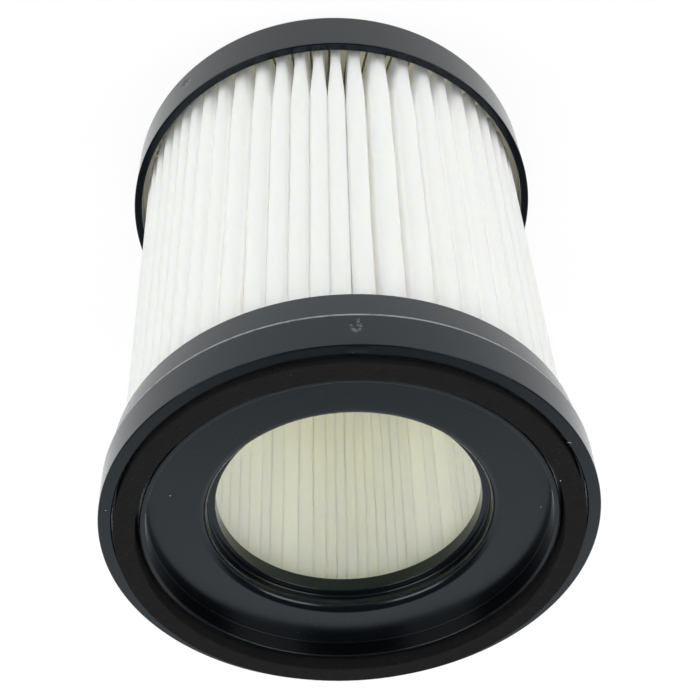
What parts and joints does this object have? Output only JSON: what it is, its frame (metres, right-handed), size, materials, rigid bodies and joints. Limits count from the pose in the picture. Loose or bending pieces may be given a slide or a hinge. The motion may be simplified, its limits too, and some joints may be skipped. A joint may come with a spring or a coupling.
{
  "type": "vacuum filter",
  "caption": "Cylindrical pleated paper filter cartridge between two black moulded end caps, one open with a round outlet and a foam gasket, the other closed.",
  "frame": {"origin": "centre of the foot ring of the closed rear cap, on the surface that the filter stands on", "axes": "+Z along the cartridge's axis, from the closed end to the gasketed open end"},
  "size_m": [0.118, 0.118, 0.1426],
  "materials": {
    "cap_plastic": "black moulded plastic with a satin sheen",
    "gasket_foam": "matte black closed-cell foam",
    "filter_paper": "soft cream-white filter paper that lets light through",
    "potting_glue": "set cream adhesive"
  },
  "bodies": {
    "root": {"front_cap": "cap_plastic", "gasket": "gasket_foam", "pleated_media": "filter_paper", "rear_cap": "cap_plastic", "front_potting": "potting_glue", "rear_potting": "potting_glue"}
  },
  "joints": []
}
